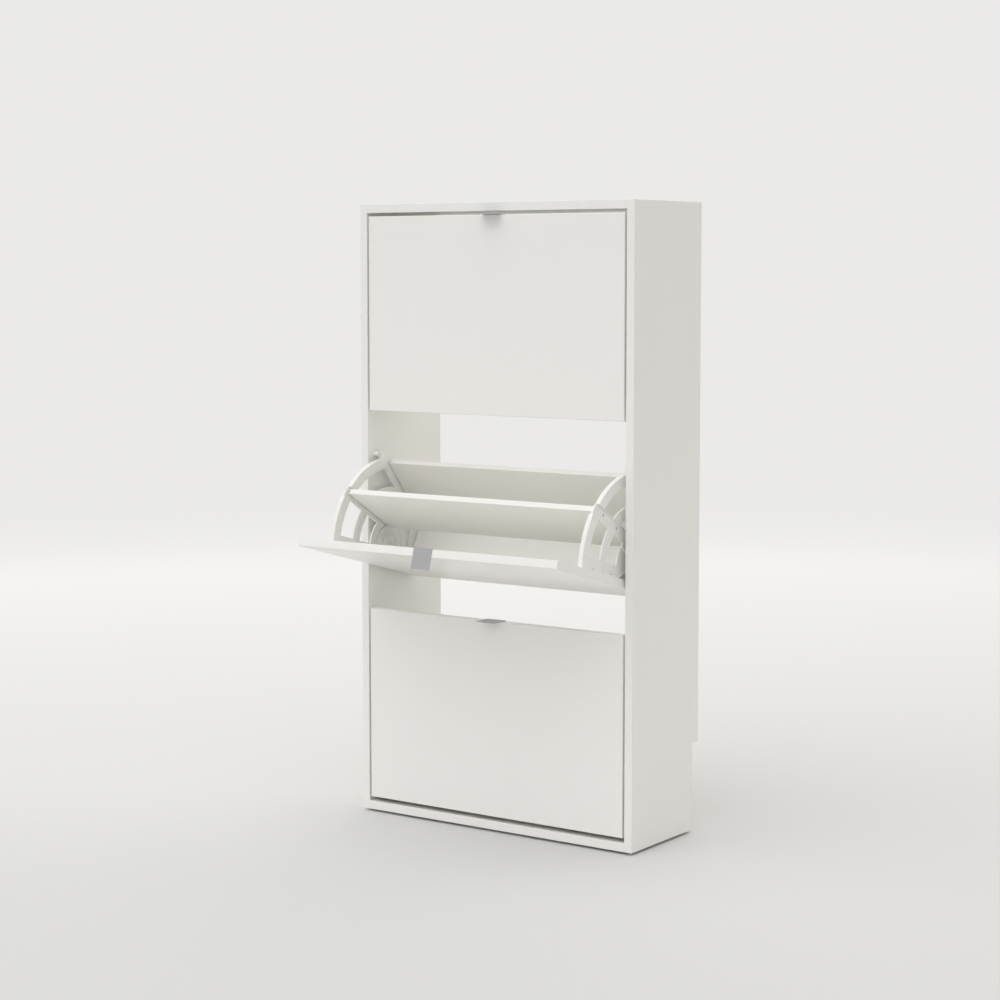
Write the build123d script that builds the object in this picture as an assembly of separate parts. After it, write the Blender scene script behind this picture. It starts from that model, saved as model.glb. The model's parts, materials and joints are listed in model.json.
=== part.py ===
from build123d import *
from math import asin, atan2, cos, degrees, radians, sin, sqrt
import os

# Slim shoe cabinet: an open-backed carcass with three tip-out bins on moulded fan brackets.
# Working frame in millimetres: X right, Y back from the front faces, Z up from the floor.
# A bin is drawn closed around its hub axis, in a side view of y (back) and z (up).

# Carcass
carcass_height = 1150.0
carcass_width = 605.0
carcass_depth = 230.0
board = 16.0
board_round = 0.8
skirting_depth = 20.0
skirting_height = 163.0

# Rails behind the bins, and the two wall screws of the upper one
rail_height = 80.0
rail_board = 16.0
rail_drop = 24.0
wall_screw_pitch = 400.0
wall_hole_r = 3.0
wall_sink_r = 6.0

# Fittings of the carcass
dowel_r = 4.0
dowel_length = 30.0
dowel_in_side = 10.0
dowel_inset = 45.0
fit_clearance = 0.05
cam_r = 7.5
cam_depth = 12.5
cam_distance = 34.0
cam_slot_width = 1.5
cam_slot_depth = 1.9
cam_bolt_r = 3.0
cam_bolt_in_side = 10.0
cam_inset = 75.0
glide_r = 11.0
glide_height = 5.0
glide_pin_r = 2.5
glide_pin_length = 9.0
glide_inset_x = 30.0
glide_inset_y = 28.0

# Fronts
bin_names = ("bottom", "middle", "top")
front_board = 15.0
front_round = 1.5
front_side_gap = 4.0
front_gap = 6.5
front_foot_gap = 8.5

# Tipping: hub axis behind the outer face and above the lower edge, and the real opening
hub_setback = 44.0
hub_rise = 111.0
opening_angle = 75.0
rest_angles = {"bottom": 0.0, "middle": opening_angle, "top": 0.0}

# Fan brackets: a thin web halfway through a deep rim, which steps in behind the middle shelf
bracket_depth = 8.5
bracket_wall_gap = 8.5
web = 3.0
rim_r = 171.0
rim_width = 19.5
rear_rim_step = 4.0
rim_end_gap = 3.0
spacer_r = 4.5
arc_r = 110.0
arc_width = 20.5
arc_groove_width = 2.4
arc_groove_depth = 0.9
hub_r = 56.0
hub_boss_r = 18.0
hub_boss_gap = 0.5
hub_rings = (39.0, 22.0)
hub_ring_width = 3.0
hub_ring_depth = 1.5
hub_ribs = 6
hub_rib_width = 2.5
foot_width = 22.0
foot_tab = 2.5
foot_tab_height = 14.0
strap_front = 8.5
strap_back = 14.3
strap_groove_inset = 1.0
strap_groove_width = 2.0
strap_groove_depth = 1.2
tongue_length = 6.0
tongue_height = 9.0
tongue_clearance = 0.1
spoke_front = 15.0
spoke_back = 12.0
tip_round = 9.0
tray_strap = 17.0
tray_lip = 1.0

# Shelves between the brackets
shelf_board = 10.0
shelf_round = 0.8
mid_shelf_foot = (32.0, 5.0)
mid_shelf_lean = 16.0
mid_shelf_length = 147.0
rear_shelf_lean = 35.0
rear_shelf_length = 158.0
floor_level = -66.0
floor_drop = 14.0
floor_length = 92.5

# Pivots and stops on the cabinet sides
pivot_r = 8.0
pivot_clearance = 0.05
pivot_flange_r = 26.0
pivot_flange = 3.0
pivot_end_gap = 1.0
pivot_dimple_r = 3.0
pivot_dimple_depth = 2.0
pivot_spigot_r = 5.0
pivot_spigot_length = 9.0
peg_r = 4.25
peg_reach = 11.5
peg_round = 0.8
peg_spigot_r = 2.5
peg_spigot_length = 9.0
peg_rim_gap = 2.0
stop_gap = 0.3
stop_block_width = 12.0
stop_block_height = 11.0
stop_block_depth = 11.0

# Handle plate on the upper edge of a front
handle_width = 40.0
handle_reach = 22.5
handle_sheet = 1.2
handle_leg = 22.0
handle_round = 1.5
handle_screw_pitch = 22.0

# Screws
screw_r = 1.6
screw_head_r = 2.6
screw_head = 1.6
screw_sink = 0.2
screw_bite = 18.0
screw_clearance = 0.05
screw_room = 0.3
front_bite = 10.0
handle_bite = 9.0
mid_screw_marks = (22.0, 71.0, 121.5)
rear_screw_marks = (42.0, 118.0)
floor_screw_marks = (26.0, 70.0)

# Derived places
inner_half = carcass_width / 2 - board
carcass_foot = glide_height
carcass_top = glide_height + carcass_height
front_width = 2 * (inner_half - front_side_gap)
opening_height = carcass_height - 2 * board
front_height = (opening_height - front_foot_gap - front_gap * len(bin_names)) / len(bin_names)
front_top = front_height - hub_rise
inner_face = front_board - hub_setback
bracket_out = inner_half - bracket_wall_gap
bracket_in = bracket_out - bracket_depth
web_out = bracket_out - (bracket_depth - web) / 2
web_in = web_out - web
rim_in = rim_r - rim_width
rear_rim_r = rim_r - rear_rim_step
arc_in = arc_r - arc_width
far = 3 * rim_r
bottom_depth = carcass_depth - skirting_depth
first_hub = carcass_foot + board + front_foot_gap + hub_rise
hub_levels = {n: first_hub + i * (front_height + front_gap) for i, n in enumerate(bin_names)}
shelf_seat = web_out - screw_sink - screw_head
foot_seat = inner_face + foot_tab
foot_screw_x = web_out + screw_room + screw_head_r
foot_marks = ((rim_in + arc_r) / 2, (arc_in + hub_r) / 2)
handle_marks = (-handle_screw_pitch / 2, handle_screw_pitch / 2)
handle_screw_z = front_top - handle_leg / 2
cam_x = inner_half - cam_distance
upper_rail_level = carcass_top - board - rail_drop - rail_height
lower_rail_level = carcass_foot + board

# The rear shelf rises where the upper face of the floor board ends
floor_end = (
    inner_face + floor_length * cos(radians(floor_drop)),
    floor_level - floor_length * sin(radians(floor_drop)),
)
floor_under = shelf_board / cos(radians(rear_shelf_lean - floor_drop))

# The peg stops the closed front with its front side and the open bin's block with its back
peg_orbit = rim_r + peg_rim_gap + peg_r
peg_y = inner_face + stop_gap + peg_r
peg_z = sqrt(peg_orbit**2 - peg_y**2)
stop_side = stop_block_width / 2 + peg_r + stop_gap
stop_angle = degrees(atan2(peg_z, peg_y) - asin(stop_side / peg_orbit)) - opening_angle

# The origin lies on the floor, centred on the box that the cabinet fills with its middle bin open
open_reach = (hub_setback + handle_reach) * cos(radians(opening_angle))
open_reach += (front_top + handle_sheet) * sin(radians(opening_angle))
origin_y = (carcass_depth + hub_setback - open_reach) / 2


def block(x0, x1, y0, y1, z0, z1):
    middle = Pos((x0 + x1) / 2, (y0 + y1) / 2, (z0 + z1) / 2)
    return middle * Box(x1 - x0, y1 - y0, z1 - z0)


def rod_x(radius, x0, x1, y, z):
    rod = Cylinder(radius, abs(x1 - x0), align=(Align.CENTER, Align.CENTER, Align.MIN))
    return Pos(min(x0, x1), y, z) * Rot(0, 90, 0) * rod


def rod_y(radius, y0, y1, x, z):
    rod = Cylinder(radius, abs(y1 - y0), align=(Align.CENTER, Align.CENTER, Align.MIN))
    return Pos(x, min(y0, y1), z) * Rot(-90, 0, 0) * rod


def rod_z(radius, z0, z1, x, y):
    rod = Cylinder(radius, abs(z1 - z0), align=(Align.CENTER, Align.CENTER, Align.MIN))
    return Pos(x, y, min(z0, z1)) * rod


def rectangle(y0, y1, z0, z1):
    return Pos((y0 + y1) / 2, (z0 + z1) / 2) * Rectangle(y1 - y0, z1 - z0)


def slab(outline, x0, x1):
    return extrude(Plane.YZ.offset(x0) * outline, x1 - x0)


def mirrored(solid):
    return mirror(solid, about=Plane.YZ)


def both_sides(solids):
    return list(solids) + [mirrored(s) for s in solids]


# Side-view frames of the boards: first across the board towards the back, then up along it
def on_mid_shelf(item):
    return Pos(*mid_shelf_foot) * Rot(0, 0, -mid_shelf_lean) * item


def on_rear_shelf(item):
    return Pos(*floor_end) * Rot(0, 0, -rear_shelf_lean) * item


# Along the floor board towards the back, then up from its upper face
def on_floor(item):
    return Pos(inner_face, floor_level) * Rot(0, 0, -floor_drop) * item


def turned(frame, across, along):
    spot = frame(Pos(across, along)).position
    return spot.X, spot.Y


# Carcass

def wall_bore(radius, length, y, z):
    return rod_x(radius + fit_clearance, inner_half, inner_half + length + fit_clearance, y, z)


def side_holes():
    holes = [wall_bore(dowel_r, dowel_in_side, y, z) for y, z in panel_dowels() + rail_dowels()]
    holes += [wall_bore(cam_bolt_r, cam_bolt_in_side, y, z) for y, z in cam_places()]
    for z in hub_levels.values():
        holes.append(wall_bore(pivot_spigot_r, pivot_spigot_length, hub_setback, z))
        holes.append(wall_bore(peg_spigot_r, peg_spigot_length, hub_setback + peg_y, z + peg_z))
    return holes


def side_panel():
    outline = rectangle(0, carcass_depth, carcass_foot, carcass_top)
    outline -= rectangle(bottom_depth, 2 * carcass_depth, 0, carcass_foot + skirting_height)
    panel = slab(outline, inner_half, carcass_width / 2)
    return fillet(panel.edges(), board_round) - side_holes()


def panel_levels():
    return (carcass_foot + board / 2, carcass_top - board / 2)


def panel_dowels():
    return [(y, z) for z in panel_levels() for y in (dowel_inset, bottom_depth - dowel_inset)]


def cam_places():
    return [(y, z) for z in panel_levels() for y in (cam_inset, bottom_depth - cam_inset)]


def rail_dowels():
    quarter = rail_height / 4
    return [(y - rail_board / 2, z + step)
            for y, z in ((carcass_depth, upper_rail_level), (bottom_depth, lower_rail_level))
            for step in (quarter, rail_height - quarter)]


def end_dowel_holes(places):
    end = inner_half - (dowel_length - dowel_in_side) - fit_clearance
    return both_sides([rod_x(dowel_r + fit_clearance, inner_half, end, y, z) for y, z in places])


def panel(depth, level):
    under = level - board / 2
    solid = block(-inner_half, inner_half, 0, depth, under, under + board)
    solid = fillet(solid.edges().filter_by(Axis.X), board_round)
    solid -= end_dowel_holes([(y, z) for y, z in panel_dowels() if z == level])
    for y, z in cam_places():
        if z == level:
            pocket = rod_z(cam_r + fit_clearance, under, under + cam_depth + fit_clearance, cam_x, y)
            neck = rod_x(cam_bolt_r + fit_clearance, inner_half, cam_x, y, z)
            solid -= both_sides([pocket, neck])
    return solid


def rail(back, level, holed):
    solid = block(-inner_half, inner_half, back - rail_board, back, level, level + rail_height)
    solid = fillet(solid.edges().filter_by(Axis.X), board_round)
    solid -= end_dowel_holes([(y, z) for y, z in rail_dowels() if level < z < level + rail_height])
    if holed:
        z = level + rail_height / 2
        for x in (-wall_screw_pitch / 2, wall_screw_pitch / 2):
            solid -= rod_y(wall_hole_r, back - rail_board, back, x, z)
            sink = Cone(wall_hole_r, wall_sink_r, wall_sink_r - wall_hole_r)
            solid -= Pos(x, back - rail_board + (wall_sink_r - wall_hole_r) / 2, z) * Rot(90, 0, 0) * sink
    return solid


def dowels():
    end = inner_half + dowel_in_side
    places = panel_dowels() + rail_dowels()
    return both_sides([rod_x(dowel_r, end, end - dowel_length, y, z) for y, z in places])


def cam_bolts():
    end = cam_x + cam_r + fit_clearance
    return both_sides([rod_x(cam_bolt_r, inner_half + cam_bolt_in_side, end, y, z) for y, z in cam_places()])


def cam_discs():
    discs = []
    slot = Box(2 * cam_r, cam_slot_width, 2 * cam_slot_depth)
    for y, z in cam_places():
        under = z - board / 2
        discs.append(rod_z(cam_r, under, under + cam_depth, cam_x, y) - Pos(cam_x, y, under) * slot)
    return both_sides(discs)


def glide_spots():
    return [(inner_half - glide_inset_x, y) for y in (glide_inset_y, bottom_depth - glide_inset_y)]


def glides():
    pads = []
    for x, y in glide_spots():
        pad = rod_z(glide_r, 0, glide_height, x, y)
        pad = fillet(pad.edges().group_by(Axis.Z)[0], board_round)
        pads.append(pad + rod_z(glide_pin_r, glide_height, glide_height + glide_pin_length, x, y))
    return both_sides(pads)


def glide_holes():
    end = glide_height + glide_pin_length + fit_clearance
    return both_sides([rod_z(glide_pin_r + fit_clearance, glide_height, end, x, y) for x, y in glide_spots()])


# Pivot plate with its pin, and the stop peg, on the right-hand side of one bin

def pivot_plate():
    flange = rod_x(pivot_flange_r, inner_half - pivot_flange, inner_half, 0, 0)
    flange = fillet(flange.edges().group_by(Axis.X)[0], board_round)
    pin = rod_x(pivot_r, bracket_in + pivot_end_gap, inner_half - pivot_flange, 0, 0)
    pin = chamfer(pin.edges().group_by(Axis.X)[0], board_round)
    spigot = rod_x(pivot_spigot_r, inner_half, inner_half + pivot_spigot_length, 0, 0)
    dimple = rod_x(pivot_dimple_r, bracket_in, bracket_in + pivot_end_gap + pivot_dimple_depth, 0, 0)
    return flange + pin + spigot - dimple


def stop_peg():
    peg = rod_x(peg_r, inner_half - peg_reach, inner_half, peg_y, peg_z)
    peg = fillet(peg.edges().group_by(Axis.X)[0], peg_round)
    return peg + rod_x(peg_spigot_r, inner_half, inner_half + peg_spigot_length, peg_y, peg_z)


# Boards of one bin

def front_hole(x, z, bite):
    return rod_y(screw_r + screw_clearance, inner_face, inner_face - bite - screw_clearance, x, z)


def front():
    solid = block(-front_width / 2, front_width / 2, -hub_setback, inner_face, -hub_rise, front_top)
    outer_edges = solid.faces().sort_by(Axis.Y)[0].edges()
    solid = fillet(outer_edges, front_round)
    solid -= both_sides([front_hole(foot_screw_x, z, front_bite) for z in foot_marks])
    return solid - [front_hole(x, handle_screw_z, handle_bite) for x in handle_marks]


def shelf_screw_holes(spots):
    end = bracket_in - screw_bite - screw_clearance
    return both_sides([rod_x(screw_r + screw_clearance, bracket_in, end, y, z) for y, z in spots])


def mid_shelf():
    outline = on_mid_shelf(rectangle(0, shelf_board, 0, mid_shelf_length))
    solid = slab(outline, -bracket_in, bracket_in)
    solid = fillet(solid.edges().filter_by(Axis.X), shelf_round)
    return solid - shelf_screw_holes(mid_spots())


def rear_shelf():
    outline = on_rear_shelf(rectangle(0, shelf_board, -floor_under, rear_shelf_length))
    solid = slab(outline, -bracket_in, bracket_in)
    upper_edges = solid.edges().filter_by(Axis.X).sort_by(Axis.Z)[-2:]
    solid = fillet(upper_edges, shelf_round)
    return solid - shelf_screw_holes(rear_spots())


def floor_board():
    outline = on_floor(rectangle(-shelf_board, floor_length + shelf_board, -shelf_board, 0))
    outline -= rectangle(-far, inner_face, -far, far)
    outline -= on_rear_shelf(rectangle(0, far, -far, far))
    return slab(outline, -bracket_in, bracket_in) - shelf_screw_holes(floor_spots())


def handle():
    leg_back = inner_face + handle_sheet
    half = handle_width / 2
    plate = block(-half, half, -hub_setback - handle_reach, leg_back, front_top, front_top + handle_sheet)
    lip_corners = plate.edges().filter_by(Axis.Z).group_by(Axis.Y)[0]
    plate = fillet(lip_corners, handle_round)
    leg = block(-half, half, inner_face, leg_back, front_top - handle_leg, front_top)
    leg -= [rod_y(screw_r + screw_clearance, inner_face, leg_back, x, handle_screw_z) for x in handle_marks]
    return plate + leg


# Fan bracket of the right-hand side, in two mouldings that meet behind the middle shelf

def rim_ring(outer):
    return Circle(outer) - Circle(outer - rim_width)


def fan_rings(outer):
    return rim_ring(outer) + (Circle(arc_r) - Circle(arc_in))


def above_hub():
    return rectangle(inner_face, far, 0, far)


def behind_strap():
    return on_mid_shelf(rectangle(strap_back, far, -far, far))


def behind_strap_front():
    return on_mid_shelf(rectangle(-strap_front, far, -far, far))


def behind_spoke_front():
    return on_rear_shelf(rectangle(-spoke_front, far, -far, far))


def below_tray():
    return on_floor(rectangle(-far, far, -far, -shelf_board - tray_lip))


def above_tray():
    return on_floor(rectangle(-far, far, tray_strap, far))


def behind_front():
    return rectangle(inner_face, far, -far, far)


def front_fan_outline():
    foot = rectangle(inner_face, inner_face + foot_width, floor_level - far, far) & Circle(rim_r)
    strap = on_mid_shelf(rectangle(-strap_front, strap_back, 0, far)) & Circle(rim_r)
    tray = on_floor(rectangle(-shelf_board, far, -far, tray_strap)) - behind_spoke_front()
    fan = (fan_rings(rim_r) & above_hub()) - behind_strap()
    return (fan + foot + strap + Circle(hub_r) + tray) & behind_front() - below_tray()


def rear_fan_outline():
    arms = (fan_rings(rear_rim_r) & behind_strap() & above_tray()) - behind_spoke_front()
    spoke = on_rear_shelf(rectangle(-spoke_front, spoke_back, -far, far)) & Circle(rear_rim_r)
    tip = spoke.vertices().sort_by(Axis.X)[-1]
    spoke = fillet(tip, tip_round)
    return arms + spoke - below_tray()


# The deep rim leaves out the strap and the rear shelf's end
def front_rim():
    return slab((rim_ring(rim_r) & above_hub()) - behind_strap_front(), bracket_in, bracket_out)


def rear_rim():
    before_shelf = on_rear_shelf(rectangle(-rim_end_gap, far, -far, far))
    ring = rim_ring(rear_rim_r) & behind_strap() & above_tray()
    return slab(ring - before_shelf, bracket_in, bracket_out)


# A tongue of the strap's web sits in a slot in the end of the rear rim, halfway across it
def tongue(room):
    lean = radians(mid_shelf_lean)
    y, z = turned(on_mid_shelf, strap_back, 0)
    foot_along = y * sin(lean) + z * cos(lean)
    along = sqrt(foot_along**2 - y**2 - z**2 + (rear_rim_r - rim_width / 2) ** 2) - foot_along
    half = tongue_height / 2 + room
    outline = rectangle(0, strap_back + tongue_length + room, along - half, along + half)
    return slab(on_mid_shelf(outline), web_in - room, web_out + room)


def mid_spots():
    return [turned(on_mid_shelf, shelf_board / 2, along) for along in mid_screw_marks]


def rear_spots():
    return [turned(on_rear_shelf, shelf_board / 2, along) for along in rear_screw_marks]


def floor_spots():
    return [turned(on_floor, along, -shelf_board / 2) for along in floor_screw_marks]


# Round spacers on the web carry the ends of the boards
def spacers(spots):
    return [rod_x(spacer_r, bracket_in, web_in, y, z) for y, z in spots]


def screw_bores(spots):
    bores = []
    for y, z in spots:
        bores.append(rod_x(screw_r + screw_clearance, bracket_in, web_out, y, z))
        bores.append(rod_x(screw_head_r + screw_room, shelf_seat, web_out, y, z))
    return bores


def foot_tabs():
    out = foot_screw_x + screw_head_r + screw_room
    half = foot_tab_height / 2
    return [block(web_in, out, inner_face, foot_seat, z - half, z + half) for z in foot_marks]


def foot_bores():
    return [rod_y(screw_r + screw_clearance, inner_face, foot_seat, foot_screw_x, z) for z in foot_marks]


def hub_rib_outline():
    half = hub_rib_width / 2
    ribs = [Rot(0, 0, 360 / hub_ribs * i) * rectangle(0, hub_r - half, -half, half) for i in range(hub_ribs)]
    return (Sketch() + ribs) & behind_front()


def hub_grooves():
    half = hub_ring_width / 2
    grooves = []
    for radius in hub_rings:
        ring = Circle(radius + half) - Circle(radius - half)
        grooves.append(slab(ring & behind_front(), web_in, web_in + hub_ring_depth))
    return grooves


def arc_grooves():
    middle, half = arc_r - arc_width / 2, arc_groove_width / 2
    groove = Circle(middle + half) - Circle(middle - half)
    groove = (groove & above_hub()) - behind_strap_front()
    faces = ((web_in, web_in + arc_groove_depth), (web_out - arc_groove_depth, web_out))
    return [slab(groove, x0, x1) for x0, x1 in faces]


def strap_groove():
    edge = strap_back - strap_groove_inset
    outline = on_mid_shelf(rectangle(edge - strap_groove_width, edge, 0, far)) & Circle(rim_r)
    return slab(outline - Circle(hub_r), web_out - strap_groove_depth, web_out)


def front_bracket():
    solid = slab(front_fan_outline(), web_in, web_out) + front_rim() + tongue(0) + foot_tabs()
    solid += slab(hub_rib_outline(), web_out, bracket_out)
    solid += rod_x(hub_boss_r, bracket_in, inner_half - pivot_flange - hub_boss_gap, 0, 0)
    solid -= rod_x(pivot_r + pivot_clearance, bracket_in, inner_half, 0, 0)
    solid -= hub_grooves() + arc_grooves() + [strap_groove()] + foot_bores()
    spots = mid_spots() + floor_spots()
    return solid + spacers(spots) - screw_bores(spots)


def rear_bracket():
    half = stop_block_width / 2
    stop = Rot(0, 0, stop_angle) * rectangle(rear_rim_r - rim_width, rim_r + stop_block_height, -half, half)
    solid = slab(rear_fan_outline(), web_in, web_out) + rear_rim()
    solid += slab(stop, bracket_in, bracket_in + stop_block_depth)
    return solid + spacers(rear_spots()) - tongue(tongue_clearance) - screw_bores(rear_spots())


# Screws of one bin

def screw_x(y, z):
    head = rod_x(screw_head_r, shelf_seat, shelf_seat + screw_head, y, z)
    return head + rod_x(screw_r, bracket_in - screw_bite, shelf_seat, y, z)


def screw_y(x, z, seat, bite):
    head = rod_y(screw_head_r, seat, seat + screw_head, x, z)
    return head + rod_y(screw_r, inner_face - bite, seat, x, z)


def bin_screws():
    sides = [screw_x(y, z) for y, z in mid_spots() + rear_spots() + floor_spots()]
    sides += [screw_y(foot_screw_x, z, foot_seat, front_bite) for z in foot_marks]
    pulls = [screw_y(x, handle_screw_z, inner_face + handle_sheet, handle_bite) for x in handle_marks]
    return both_sides(sides) + pulls


# Writing the nodes

def write(name, solid):
    placed = Pos(0, -origin_y, 0) * (Compound(solid) if isinstance(solid, list) else solid)
    export_step(placed, f"parts/{name}.step")


def write_carcass():
    right = side_panel()
    low, high = panel_levels()
    write("side_panel_right", right)
    write("side_panel_left", mirrored(right))
    write("top_panel", panel(carcass_depth, high))
    write("bottom_panel", panel(bottom_depth, low) - glide_holes())
    write("back_rail_upper", rail(carcass_depth, upper_rail_level, True))
    write("back_rail_lower", rail(bottom_depth, lower_rail_level, False))
    write("carcass_dowels", dowels())
    write("cam_bolts", cam_bolts())
    write("cam_discs", cam_discs())
    write("glides", glides())
    plate = pivot_plate()
    pegs = []
    for name, level in hub_levels.items():
        at_hub = Pos(0, hub_setback, level)
        write(f"pivot_plate_right_{name}", at_hub * plate)
        write(f"pivot_plate_left_{name}", at_hub * mirrored(plate))
        pegs += [at_hub * peg for peg in both_sides([stop_peg()])]
    write("stop_pegs", pegs)


def bin_nodes():
    fan, wing = front_bracket(), rear_bracket()
    return {
        "front": front(),
        "handle": handle(),
        "mid_shelf": mid_shelf(),
        "rear_shelf": rear_shelf(),
        "floor_board": floor_board(),
        "fan_bracket_right": fan,
        "fan_bracket_left": mirrored(fan),
        "rear_bracket_right": wing,
        "rear_bracket_left": mirrored(wing),
        "bin_screws": bin_screws(),
    }


def write_bins():
    nodes = bin_nodes()
    for name, level in hub_levels.items():
        at_hub = Pos(0, hub_setback, level) * Rot(rest_angles[name], 0, 0)
        for node, solid in nodes.items():
            pieces = [at_hub * s for s in solid] if isinstance(solid, list) else at_hub * solid
            write(f"{node}_{name}", pieces)


os.makedirs("parts", exist_ok=True)
write_carcass()
write_bins()
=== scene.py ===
import bpy
import json
import numpy as np
from math import cos, pi, radians, sin
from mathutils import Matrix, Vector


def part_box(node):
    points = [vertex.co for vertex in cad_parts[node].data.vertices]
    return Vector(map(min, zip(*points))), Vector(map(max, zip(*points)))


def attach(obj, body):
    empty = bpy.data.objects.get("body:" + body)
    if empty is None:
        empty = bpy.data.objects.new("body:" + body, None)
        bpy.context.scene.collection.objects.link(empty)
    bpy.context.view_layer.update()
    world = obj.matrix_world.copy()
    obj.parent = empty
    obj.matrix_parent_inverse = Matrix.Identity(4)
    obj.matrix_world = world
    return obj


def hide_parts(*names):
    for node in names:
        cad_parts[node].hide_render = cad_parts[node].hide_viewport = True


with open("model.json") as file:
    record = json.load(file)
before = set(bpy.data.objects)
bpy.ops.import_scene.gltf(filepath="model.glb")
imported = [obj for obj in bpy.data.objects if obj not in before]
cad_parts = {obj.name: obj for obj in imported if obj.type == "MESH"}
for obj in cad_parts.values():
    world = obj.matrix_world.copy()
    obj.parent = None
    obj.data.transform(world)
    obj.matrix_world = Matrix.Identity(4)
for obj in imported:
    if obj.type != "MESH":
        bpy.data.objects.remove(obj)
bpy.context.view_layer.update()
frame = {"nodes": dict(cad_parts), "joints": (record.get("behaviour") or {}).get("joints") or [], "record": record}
nodes = frame["nodes"]
hubs = {j["child"][len("bin_"):]: j for j in frame["joints"]}    # bin name to its hinge
binNames = sorted(hubs, key=lambda name: hubs[name]["pos_m"][2])
print("frame:", len(nodes), "nodes,", len(binNames), "bins")


# A bin drawn closed about its hub axis, in metres: y back, z up, as seen from the side
binPlan = {
    "openAngle": 75.0,           # how far the middle bin stands open at rest
    "openBin": "middle",
    "hubSetback": 0.044,
    "frontBoard": 0.015,
    "frontTop": 0.252333,
    "bracketIn": 0.2695,         # where the boards end
    "webOut": 0.27525,           # outer face of the brackets' thin web
    "shelfBoard": 0.010,
    "midFoot": (0.032, 0.005),
    "midLean": 16.0,
    "floorLevel": -0.066,
    "floorDrop": 14.0,
    "floorLength": 0.0925,
    "rearLean": 35.0,
}
innerFace = binPlan["frontBoard"] - binPlan["hubSetback"]


def sideTurn(angle):    # matrix that turns (y, z) by an angle about X, as seen in the side view
    c, s = cos(radians(angle)), sin(radians(angle))
    return np.array([[c, -s], [s, c]])


def binAngle(name):    # a bin's own turn at rest: the open angle for the open bin, otherwise none
    return binPlan["openAngle"] if name == binPlan["openBin"] else 0.0


def boardFrames():    # foot (y, z) of each leaning board and its turn in degrees
    plan = binPlan
    floorFoot = np.array([innerFace, plan["floorLevel"]])
    floorEnd = floorFoot + sideTurn(-plan["floorDrop"]) @ np.array([plan["floorLength"], 0.0])
    return {
        "mid_shelf": (np.array(plan["midFoot"]), -plan["midLean"]),
        "rear_shelf": (floorEnd, -plan["rearLean"]),
        "floor_board": (floorFoot, -plan["floorDrop"]),
    }


def onBoard(board, across, along):    # side-view point: foot plus the turned step (across, along)
    foot, turn = boardFrames()[board]
    return foot + sideTurn(turn) @ np.array([across, along])


# Shader helpers

def addNode(tree, kind, inputs=None, **settings):    # a node with its settings and the values of its sockets
    node = tree.nodes.new(kind)
    for name, value in settings.items():
        setattr(node, name, value)
    for name, value in (inputs or {}).items():
        node.inputs[name].default_value = value
    return node


def newFinish(name, sockets):    # a material with its shader's constant sockets set
    finish = bpy.data.materials.new(name)
    finish.use_nodes = True
    shader = finish.node_tree.nodes["Principled BSDF"]
    for socket, value in sockets.items():
        shader.inputs[socket].default_value = value
    return finish, finish.node_tree, shader


def placedCoordinates(tree, centre, turn, stretch=(1.0, 1.0, 1.0)):
    # object coordinates, moved to a centre, turned back about X and stretched
    spot = addNode(tree, "ShaderNodeTexCoord")
    place = addNode(tree, "ShaderNodeMapping", {
        "Location": centre, "Rotation": (radians(turn), 0.0, 0.0), "Scale": stretch}, vector_type="TEXTURE")
    tree.links.new(spot.outputs["Object"], place.inputs["Vector"])
    return place.outputs["Vector"]


def noise(tree, vector, scale, detail, rough=0.5):    # noise of a scale, with detail octaves fading by rough
    node = addNode(tree, "ShaderNodeTexNoise", {"Scale": scale, "Detail": detail, "Roughness": rough})
    tree.links.new(vector, node.inputs["Vector"])
    return node.outputs["Fac"]


def spread(tree, value, low, high, lowest=0.3, highest=0.7):    # maps lowest..highest to low..high, straight
    node = addNode(tree, "ShaderNodeMapRange", {
        "From Min": lowest, "From Max": highest, "To Min": low, "To Max": high})
    tree.links.new(value, node.inputs["Value"])
    return node.outputs["Result"]


def tint(tree, value, colours):    # colour ramp through evenly spaced colours
    node = addNode(tree, "ShaderNodeValToRGB")
    ramp = node.color_ramp
    ramp.elements[0].color = (*colours[0], 1.0)
    ramp.elements[1].color = (*colours[-1], 1.0)
    for i, colour in enumerate(colours[1:-1], start=1):
        ramp.elements.new(i / (len(colours) - 1)).color = (*colour, 1.0)
    tree.links.new(value, node.inputs["Fac"])
    return node.outputs["Color"]


def bump(tree, height, strength, distance):    # normal bent by a height field
    node = addNode(tree, "ShaderNodeBump", {"Strength": strength, "Distance": distance})
    tree.links.new(height, node.inputs["Height"])
    return node.outputs["Normal"]


def dress(node, finish):    # puts a finish in the node's slot
    nodes[node].data.materials.clear()
    nodes[node].data.materials.append(finish)


# Satin lacquer of the carcass and the fronts

lacquer = {
    "sockets": {"Specular IOR Level": 0.45, "Coat Weight": 0.12, "Coat Roughness": 0.18},
    "colours": ((0.932, 0.924, 0.894), (0.948, 0.941, 0.912)),
    "clouds": (5.0, 4.0),               # scale and detail of the noise
    "wipe": (28.0, 5.0, 0.6),           # scale, detail and roughness of the noise
    "wipeStretch": (4.0, 1.0, 1.0),
    "roughness": (0.30, 0.40),
    "peel": (420.0, 2.0),
    "peelStrength": 0.05,
    "peelDepth": 0.0004,
}


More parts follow.
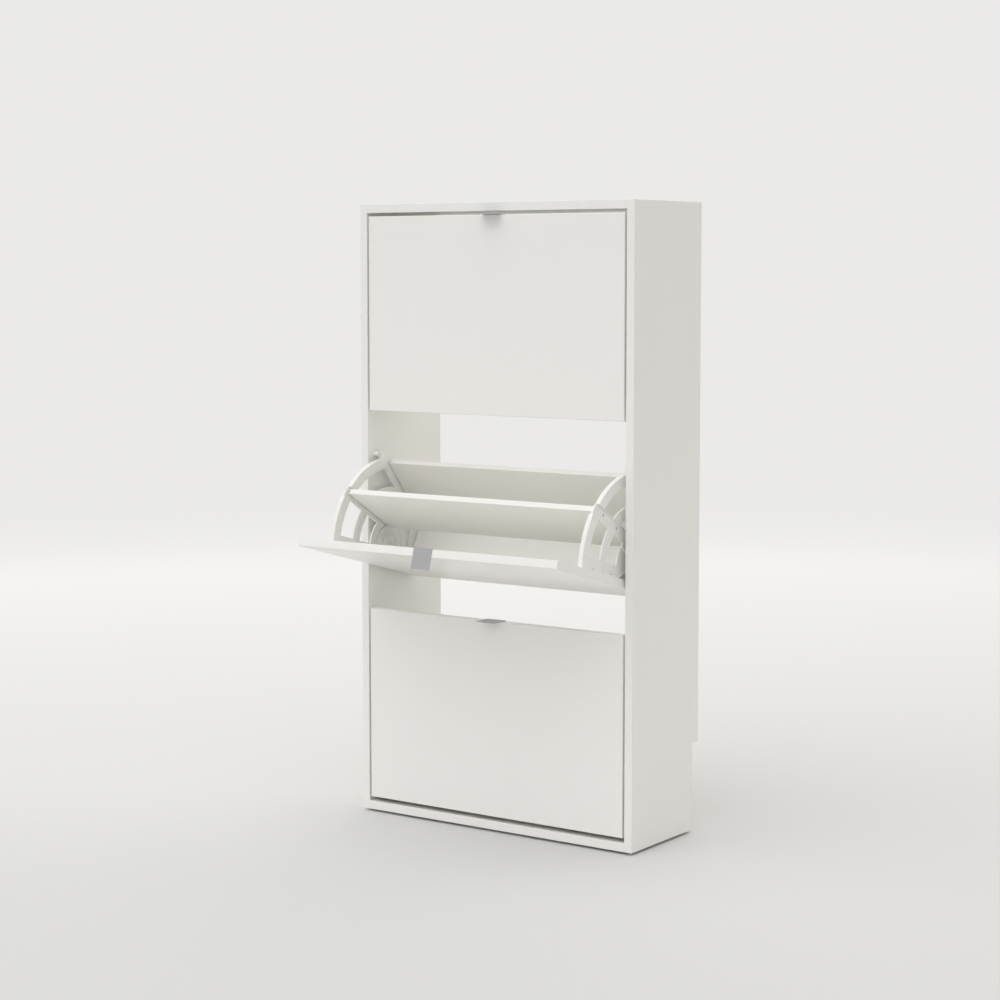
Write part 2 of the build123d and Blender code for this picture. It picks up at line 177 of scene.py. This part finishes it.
def lacquerFinish(name, centre, turn):
    # colour clouds a hand wide, faint orange peel about 2 mm wide, roughness in wiped streaks
    finish, tree, shader = newFinish(name, lacquer["sockets"])
    spot = placedCoordinates(tree, centre, turn)
    clouds = noise(tree, spot, *lacquer["clouds"])
    tree.links.new(tint(tree, clouds, lacquer["colours"]), shader.inputs["Base Color"])
    wipe = placedCoordinates(tree, centre, turn, lacquer["wipeStretch"])
    streaks = noise(tree, wipe, *lacquer["wipe"])
    tree.links.new(spread(tree, streaks, *lacquer["roughness"]), shader.inputs["Roughness"])
    peel = noise(tree, spot, *lacquer["peel"])
    tree.links.new(bump(tree, peel, lacquer["peelStrength"], lacquer["peelDepth"]), shader.inputs["Normal"])
    return finish


# Foil on the shelves and floors of the bins, with a faint grain along the board

foil = {
    "sockets": {"Specular IOR Level": 0.4},
    "colours": ((0.940, 0.927, 0.883), (0.958, 0.946, 0.904)),
    "grain": (90.0, 6.0, 0.6),
    "grainStretch": (14.0, 1.0, 1.0),
    "grainStrength": 0.10,
    "grainDepth": 0.0002,
    "roughness": (0.42, 0.54),
}


def foilFinish(name, centre, turn):
    # long grain along X: stretched noise drives colour, roughness and a shallow bump together
    finish, tree, shader = newFinish(name, foil["sockets"])
    spot = placedCoordinates(tree, centre, turn, foil["grainStretch"])
    grain = noise(tree, spot, *foil["grain"])
    tree.links.new(tint(tree, grain, foil["colours"]), shader.inputs["Base Color"])
    tree.links.new(spread(tree, grain, *foil["roughness"]), shader.inputs["Roughness"])
    tree.links.new(bump(tree, grain, foil["grainStrength"], foil["grainDepth"]), shader.inputs["Normal"])
    return finish


# White moulding of the brackets, pivot plates and pegs

moulding = {
    "sockets": {"Specular IOR Level": 0.5},
    "colours": ((0.928, 0.919, 0.888), (0.949, 0.940, 0.911)),
    "flow": (22.0, 3.0),
    "roughness": (0.38, 0.50),
    "spark": (1500.0, 2.0, 0.7),
    "sparkStrength": 0.12,
    "sparkDepth": 0.0003,
}


def mouldingFinish(name, centre, turn):
    # spark-eroded grain under a millimetre wide, and soft flow clouds in tone and gloss
    finish, tree, shader = newFinish(name, moulding["sockets"])
    spot = placedCoordinates(tree, centre, turn)
    flow = noise(tree, spot, *moulding["flow"])
    tree.links.new(tint(tree, flow, moulding["colours"]), shader.inputs["Base Color"])
    tree.links.new(spread(tree, flow, *moulding["roughness"]), shader.inputs["Roughness"])
    spark = noise(tree, spot, *moulding["spark"])
    pitted = bump(tree, spark, moulding["sparkStrength"], moulding["sparkDepth"])
    tree.links.new(pitted, shader.inputs["Normal"])
    return finish


# Brushed and anodised sheet of the handles

plate = {
    "sockets": {"Metallic": 0.85},
    "colours": ((0.46, 0.46, 0.475), (0.54, 0.54, 0.555)),
    "brush": (900.0, 4.0, 0.65),
    "brushStretch": (30.0, 1.0, 1.0),
    "brushStrength": 0.15,
    "brushDepth": 0.0001,
    "roughness": (0.36, 0.48),
}


def plateFinish(name, centre, turn):
    # brush lines along the plate's width: noise stretched along X
    finish, tree, shader = newFinish(name, plate["sockets"])
    spot = placedCoordinates(tree, centre, turn, plate["brushStretch"])
    lines = noise(tree, spot, *plate["brush"])
    tree.links.new(tint(tree, lines, plate["colours"]), shader.inputs["Base Color"])
    tree.links.new(spread(tree, lines, *plate["roughness"]), shader.inputs["Roughness"])
    tree.links.new(bump(tree, lines, plate["brushStrength"], plate["brushDepth"]), shader.inputs["Normal"])
    return finish


# Bright zinc on screws, cam bolts and cams

zinc = {
    "sockets": {"Metallic": 1.0},
    "colours": ((0.50, 0.51, 0.53), (0.66, 0.66, 0.68)),
    "spangleScale": 700.0,
    "roughness": (0.24, 0.42),
    "pits": (2100.0, 2.0),
    "pitStrength": 0.10,
    "pitDepth": 0.0001,
}


def zincFinish(name, centre, turn):
    # plating spangles: the distance in each cell drives tone and gloss, fine noise pits the surface
    finish, tree, shader = newFinish(name, zinc["sockets"])
    spot = placedCoordinates(tree, centre, turn)
    spangle = addNode(tree, "ShaderNodeTexVoronoi", {"Scale": zinc["spangleScale"]})
    tree.links.new(spot, spangle.inputs["Vector"])
    tree.links.new(tint(tree, spangle.outputs["Distance"], zinc["colours"]), shader.inputs["Base Color"])
    gloss = spread(tree, spangle.outputs["Distance"], *zinc["roughness"], 0.0, 1.0)
    tree.links.new(gloss, shader.inputs["Roughness"])
    pits = noise(tree, spot, *zinc["pits"])
    tree.links.new(bump(tree, pits, zinc["pitStrength"], zinc["pitDepth"]), shader.inputs["Normal"])
    return finish


# Beech of the dowels

beech = {
    "colours": ((0.48, 0.32, 0.17), (0.60, 0.43, 0.25), (0.66, 0.50, 0.31)),
    "flecks": (160.0, 5.0, 0.6),
    "fleckStretch": (8.0, 1.0, 1.0),
    "roughness": (0.55, 0.75),
}


def beechFinish(name, centre, turn):
    # flecks along the dowel: noise stretched along X
    finish, tree, shader = newFinish(name, {})
    spot = placedCoordinates(tree, centre, turn, beech["fleckStretch"])
    flecks = noise(tree, spot, *beech["flecks"])
    tree.links.new(tint(tree, flecks, beech["colours"]), shader.inputs["Base Color"])
    tree.links.new(spread(tree, flecks, *beech["roughness"]), shader.inputs["Roughness"])
    return finish


# Dark plastic of the glides

glide = {
    "colours": ((0.020, 0.020, 0.021), (0.045, 0.045, 0.046)),
    "scuffs": (260.0, 5.0, 0.7),
    "roughness": (0.45, 0.70),
}


def glideFinish(name, centre, turn):
    # scuffs: noise lifts tone and roughness together
    finish, tree, shader = newFinish(name, {})
    spot = placedCoordinates(tree, centre, turn)
    scuffs = noise(tree, spot, *glide["scuffs"])
    tree.links.new(tint(tree, scuffs, glide["colours"]), shader.inputs["Base Color"])
    tree.links.new(spread(tree, scuffs, *glide["roughness"]), shader.inputs["Roughness"])
    return finish


finishes = {
    "lacquered_board": lacquerFinish,
    "shelf_board": foilFinish,
    "bracket_plastic": mouldingFinish,
    "handle_plate": plateFinish,
    "zinc_steel": zincFinish,
    "dowel_wood": beechFinish,
    "glide_plastic": glideFinish,
}


def dressNodes():    # each node gets its slot's finish, centred on the node and turned with its board
    slots = {part["node"]: part["material_slot"] for part in frame["record"]["subparts"]}
    leans = {board: turn for board, (foot, turn) in boardFrames().items()}
    for node, slotName in slots.items():
        low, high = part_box(node)
        kind, _, binName = node.rpartition("_")
        turn = leans.get(kind, 0.0) + (binAngle(binName) if binName in hubs else 0.0)
        dress(node, finishes[slotName](f"{slotName}.{node}", (low + high) / 2, turn))
    print("finishes on", len(slots), "nodes")


dressNodes()


# Screws of the bins: domed heads with a cross recess on threaded shanks

screw = {
    "headRadius": 0.0026,
    "headHeight": 0.0016,
    "dome": 0.0005,
    "rimEase": 0.985,          # share of the head's radius inside its last ring
    "recessReach": 0.0016,
    "recessHalf": 0.00036,
    "recessDepth": 0.0009,
    "soft": 0.00012,           # how gently the recess walls slope
    "shankRadius": 0.0016,
    "threadDepth": 0.0003,
    "threadPitch": 0.0014,
    "threadRun": 0.0020,       # over which the thread grows to its depth
    "tipLength": 0.0030,
    "tipRadii": (0.75, 0.45, 0.15),      # shares of the shank's radius
    "tipSteps": (0.3, 0.65, 0.95),       # shares of the tip's length
    "headRings": 15,
    "ringsPerTurn": 8,
    "segments": 40,
    "spin": 0.7,               # radians from one screw's recess to the next one's
    "bite": 0.018,             # into the shelves
    "frontBite": 0.010,        # into the front
    "pullBite": 0.009,
    "midMarks": (0.022, 0.071, 0.1215),
    "rearMarks": (0.042, 0.118),
    "floorMarks": (0.026, 0.070),
    "footMarks": (0.13075, 0.07275),
    "footTab": 0.0025,         # head seat behind the front's inner face
    "footStep": 0.0029,        # from the web's outer face to the foot screws
    "headSink": 0.0002,
    "sheet": 0.0012,
    "pullSpan": 0.022,
    "pullDrop": 0.011,
}


def smoothStep(low, high, x):    # 0 below low, 1 above high, cubic between
    t = np.clip((x - low) / (high - low), 0.0, 1.0)
    return t * t * (3 - 2 * t)


def recessBar(across, along):
    # 1 inside one bar of the cross and 0 outside: a smooth step across it times one at its end
    half, reach, soft = screw["recessHalf"], screw["recessReach"], screw["soft"]
    end = smoothStep(reach - 2 * soft, reach + soft, along)
    return (1 - smoothStep(half - soft, half + soft, across)) * (1 - end)


def screwRings(length):
    # axis +Z with the head's seat at 0; rings of (radius, height), then the cross pressed into the dome:
    # depth times the larger of its two bars; the shank's radius dips by a cosine that winds with the thread
    angle = np.linspace(0.0, 2 * pi, screw["segments"], endpoint=False)
    share = np.linspace(0.0, 1.0, screw["headRings"] + 1)[1:]
    radius, height = screw["headRadius"], screw["headHeight"]
    headR = radius * np.sqrt(share) * np.where(share < 1, screw["rimEase"], 1.0)
    headZ = height - screw["dome"] * share**2
    r = np.repeat(headR[:, None], len(angle), 1)
    x, y = np.abs(r * np.cos(angle)), np.abs(r * np.sin(angle))
    z = headZ[:, None] - screw["recessDepth"] * np.maximum(recessBar(x, y), recessBar(y, x))
    shank = length - screw["tipLength"]
    steps = np.linspace(0.0, 1.0, int(shank / screw["threadPitch"] * screw["ringsPerTurn"]))
    depth = steps * shank
    wave = 0.5 + 0.5 * np.cos(2 * pi * depth[:, None] / screw["threadPitch"] + angle)
    run = smoothStep(0.0, screw["threadRun"], depth)[:, None]
    shankR = screw["shankRadius"] - screw["threadDepth"] * wave * run
    shankZ = -np.repeat(depth[:, None], len(angle), 1)
    tipR = shankR[-1:] * np.array(screw["tipRadii"])[:, None]
    tipZ = -shank - screw["tipLength"] * np.array(screw["tipSteps"])[:, None] + 0 * angle
    headEdge = np.full((1, len(angle)), radius)
    shankTop = np.full((1, len(angle)), screw["shankRadius"])
    seat = np.zeros((2, len(angle)))
    r = np.vstack([r, headEdge, shankTop, shankR[1:], tipR])
    z = np.vstack([z, seat, shankZ[1:], tipZ])
    return np.stack([r * np.cos(angle), r * np.sin(angle), z], -1)


def ringQuads(count, around):    # numbers of the points in rings, the same one step on, and the quads between
    index = np.arange(count * around).reshape(count, around)
    ahead = np.roll(index, -1, 1)
    quads = np.stack([index[:-1], index[1:], ahead[1:], ahead[:-1]], -1).reshape(-1, 4)
    return index, ahead, quads


def closedRings(rings):
    # closed tube through the rings, wrapped round, with a fan on the middle of the first and last ring
    count, around = rings.shape[:2]
    index, ahead, quads = ringQuads(count, around)
    first, last = count * around, count * around + 1
    top = np.stack([np.full(around, first), index[0], ahead[0]], -1)
    end = np.stack([np.full(around, last), ahead[-1], index[-1]], -1)
    points = np.vstack([rings.reshape(-1, 3), rings[0].mean(0), rings[-1].mean(0)])
    return points, quads, np.vstack([top, end])


def screwPlaces():
    # seat point, head direction and length of each screw, in the closed bin's frame about its hub
    plan = binPlan
    seat = plan["webOut"] - screw["headSink"] - screw["headHeight"]
    footX = plan["webOut"] + screw["footStep"]
    half = plan["shelfBoard"] / 2
    spots = [onBoard("mid_shelf", half, along) for along in screw["midMarks"]]
    spots += [onBoard("floor_board", along, -half) for along in screw["floorMarks"]]
    spots += [onBoard("rear_shelf", half, along) for along in screw["rearMarks"]]
    length = seat - plan["bracketIn"] + screw["bite"]
    places = [((side * seat, *spot), (side, 0, 0), length) for side in (-1, 1) for spot in spots]
    footSeat = innerFace + screw["footTab"]
    places += [((side * footX, footSeat, z), (0, 1, 0), screw["footTab"] + screw["frontBite"])
               for side in (-1, 1) for z in screw["footMarks"]]
    pullZ = plan["frontTop"] - screw["pullDrop"]
    places += [((side * screw["pullSpan"] / 2, innerFace + screw["sheet"], pullZ), (0, 1, 0),
                screw["sheet"] + screw["pullBite"]) for side in (-1, 1)]
    return places


def headUp(direction):    # rotation whose third axis is the head's direction
    up = np.array(direction, float)
    side = np.array([0.0, 0.0, 1.0])
    return np.stack([np.cross(side, up), side, up], -1)


def intoFrame(points, name):    # turns a closed bin's points by its rest angle and moves them to its hub
    turned = points.copy()
    turned[:, 1:] = points[:, 1:] @ sideTurn(binAngle(name)).T
    return turned + np.array(hubs[name]["pos_m"])


def putMesh(name, points, quads, triangles):    # a piece at the origin from points and faces
    mesh = bpy.data.meshes.new(name)
    mesh.from_pydata(points.tolist(), [], quads.tolist() + triangles.tolist())
    mesh.validate()
    piece = bpy.data.objects.new(name, mesh)
    bpy.context.scene.collection.objects.link(piece)
    return piece


def makeScrews(name):
    # each screw's rings, spun about its axis, turned to its head's direction and moved to its seat
    pointSets, quadSets, fanSets, start = [], [], [], 0
    for i, (seat, direction, length) in enumerate(screwPlaces()):
        points, quads, fans = closedRings(screwRings(length))
        spin = screw["spin"] * i    # each screw stops at its own angle
        twist = np.array([[cos(spin), -sin(spin), 0], [sin(spin), cos(spin), 0], [0, 0, 1]])
        pointSets.append(points @ twist.T @ headUp(direction).T + np.array(seat))
        quadSets.append(quads + start)
        fanSets.append(fans + start)
        start += len(points)
    points = intoFrame(np.vstack(pointSets), name)
    piece = putMesh(f"screws_{name}", points, np.vstack(quadSets), np.vstack(fanSets))
    piece.data.shade_smooth()
    piece.data.materials.append(zincFinish(f"zinc_steel.screws_{name}", (0.0, 0.0, 0.0), 0.0))
    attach(piece, f"bin_{name}")
    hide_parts(f"bin_screws_{name}")


for binName in binNames:
    makeScrews(binName)
print("screws made for", len(binNames), "bins")


# Floor that rises all round into a backdrop

stageLook = {
    "sweepStart": 4.3,           # radius in metres where the floor begins to rise
    "sweepRadius": 2.6,
    "wallHeight": 8.0,
    "floorRings": 6,
    "sweepRings": 28,
    "segments": 96,
    # painted shade: the floor's colour darkens towards the near right, standing in for light falling off towards
    # the camera and the shadow in front of the cabinet
    "floorShadedNear": (0.600, 0.598, 0.592),
    "floorLitFar": (0.838, 0.835, 0.829),
    "nearToFar": (-3.0, 3.6),    # along the slope, from the near right to the far left
    "slopeYaw": 52.0,
    "paper": (0.828, 0.821, 0.807),
    "blend": (3.6, 5.2),         # radius where the lit floor fades into the paper
    "sockets": {"Roughness": 0.8, "Specular IOR Level": 0.15},
}


def makeStage():
    # profile of floor, quarter circle and wall, carried round the Z axis
    look = stageLook
    start, radius = look["sweepStart"], look["sweepRadius"]
    turn = np.linspace(0.0, pi / 2, look["sweepRings"])
    flat = np.linspace(0.0, start, look["floorRings"])[1:-1]
    r = np.concatenate([flat, start + radius * np.sin(turn), [start + radius]])
    z = np.concatenate([0 * flat, radius - radius * np.cos(turn), [look["wallHeight"]]])
    angle = np.linspace(0.0, 2 * pi, look["segments"], endpoint=False)
    level = np.repeat(z[:, None], len(angle), 1)
    grid = np.stack([np.outer(r, np.cos(angle)), np.outer(r, np.sin(angle)), level], -1)
    index, ahead, quads = ringQuads(*level.shape)
    middle = np.stack([np.full(len(angle), level.size), index[0], ahead[0]], -1)
    sweep = putMesh("backdrop", np.vstack([grid.reshape(-1, 3), np.zeros((1, 3))]), quads, middle)
    sweep.data.shade_smooth()
    sweep.data.materials.append(paperFinish())
    print("backdrop made")


def mixed(tree, share, first, second):    # first shader where the share is 0, second where it is 1
    node = addNode(tree, "ShaderNodeMixShader")
    tree.links.new(share, node.inputs["Fac"])
    tree.links.new(first, node.inputs[1])
    tree.links.new(second, node.inputs[2])
    return node.outputs["Shader"]


def paperFinish():
    # floor: lit paper with painted shade in its colour, darker towards the near right and paler towards the far
    # side; wall: plain paper tone for the eye, clear for other light
    look = stageLook
    finish, tree, shader = newFinish("backdrop_paper", look["sockets"])
    spot = addNode(tree, "ShaderNodeTexCoord").outputs["Object"]
    along = addNode(tree, "ShaderNodeVectorMath", operation="DOT_PRODUCT")
    yaw = radians(look["slopeYaw"])
    along.inputs[1].default_value = (-sin(yaw), cos(yaw), 0.0)
    tree.links.new(spot, along.inputs[0])
    # painted shade: the floor's base colour runs from the shaded near tone to the lit far tone along the slope
    share = spread(tree, along.outputs["Value"], 0.0, 1.0, *look["nearToFar"])
    tree.links.new(tint(tree, share, (look["floorShadedNear"], look["floorLitFar"])), shader.inputs["Base Color"])
    paper = addNode(tree, "ShaderNodeEmission", {"Color": (*look["paper"], 1.0), "Strength": 1.0})
    clear = addNode(tree, "ShaderNodeBsdfTransparent")
    path = addNode(tree, "ShaderNodeLightPath")
    seen = path.outputs["Is Camera Ray"]
    for kind in ("Is Glossy Ray", "Is Transmission Ray"):
        either = addNode(tree, "ShaderNodeMath", operation="MAXIMUM")
        tree.links.new(seen, either.inputs[0])
        tree.links.new(path.outputs[kind], either.inputs[1])
        seen = either.outputs["Value"]
    wall = mixed(tree, seen, clear.outputs["BSDF"], paper.outputs["Emission"])
    reach = addNode(tree, "ShaderNodeVectorMath", operation="LENGTH")
    tree.links.new(spot, reach.inputs[0])
    rise = addNode(tree, "ShaderNodeMapRange", {
        "From Min": look["blend"][0], "From Max": look["blend"][1]}, interpolation_type="SMOOTHSTEP")
    tree.links.new(reach.outputs["Value"], rise.inputs["Value"])
    both = mixed(tree, rise.outputs["Result"], shader.outputs["BSDF"], wall)
    tree.links.new(both, tree.nodes["Material Output"].inputs["Surface"])
    return finish


makeStage()


# Light: an even surround with broad soft lobes from above the front, from the front left and from behind

lightLook = {
    "surround": (0.322, 0.322, 0.322),
    "lobes": {    # direction the light comes from, strength, tint, cosines where it begins and is full
        "above": ((0.0, -0.40, 0.92), 1.31, (1.0, 1.0, 1.0), (0.50, 0.98)),
        "left": ((-0.75, -0.60, 0.30), 0.345, (1.0, 1.0, 1.0), (0.40, 0.96)),
        "behind": ((0.0, 1.0, 0.15), 1.00, (1.0, 0.965, 0.875), (0.30, 0.95)),
    },
}


def makeLight():
    # colour of the sky: surround plus each lobe's tint times its strength times a smooth step of the angle
    world = bpy.data.worlds.new("studio")
    world.use_nodes = True
    tree = world.node_tree
    spot = addNode(tree, "ShaderNodeTexCoord").outputs["Generated"]
    total = None
    for direction, strength, shade, (begin, full) in lightLook["lobes"].values():
        angle = addNode(tree, "ShaderNodeVectorMath", operation="DOT_PRODUCT")
        angle.inputs[1].default_value = Vector(direction).normalized()
        tree.links.new(spot, angle.inputs[0])
        lobe = addNode(tree, "ShaderNodeMapRange", {
            "From Min": begin, "From Max": full, "To Max": strength}, interpolation_type="SMOOTHSTEP")
        tree.links.new(angle.outputs["Value"], lobe.inputs["Value"])
        tinted = addNode(tree, "ShaderNodeVectorMath", operation="SCALE")
        tinted.inputs[0].default_value = shade
        tree.links.new(lobe.outputs["Result"], tinted.inputs["Scale"])
        joined = addNode(tree, "ShaderNodeVectorMath", operation="ADD")
        tree.links.new(tinted.outputs["Vector"], joined.inputs[0])
        if total is None:
            joined.inputs[1].default_value = lightLook["surround"]
        else:
            tree.links.new(total, joined.inputs[1])
        total = joined.outputs["Vector"]
    tree.links.new(total, tree.nodes["Background"].inputs["Color"])
    bpy.context.scene.world = world
    print("light made")


makeLight()


# Camera at the photograph's place

cameraLook = {
    "place": (2.3751, -3.3627, 1.0354),
    "pitchDown": 4.945,
    "yaw": 35.0715,
    "lens": 81.73,
    "sensor": 36.0,
    "shiftY": -0.035,
}


def makeCamera():    # looks along +Y, pitched down about X and then turned about Z
    look = cameraLook
    lens = bpy.data.cameras.new("view")
    lens.lens = look["lens"]
    lens.sensor_width = look["sensor"]
    lens.shift_y = look["shiftY"]
    camera = bpy.data.objects.new("view", lens)
    camera.location = look["place"]
    camera.rotation_euler = (radians(90 - look["pitchDown"]), 0.0, radians(look["yaw"]))
    bpy.context.scene.collection.objects.link(camera)
    bpy.context.scene.camera = camera
    bpy.context.scene.view_settings.view_transform = "Standard"
    print("camera made")


makeCamera()
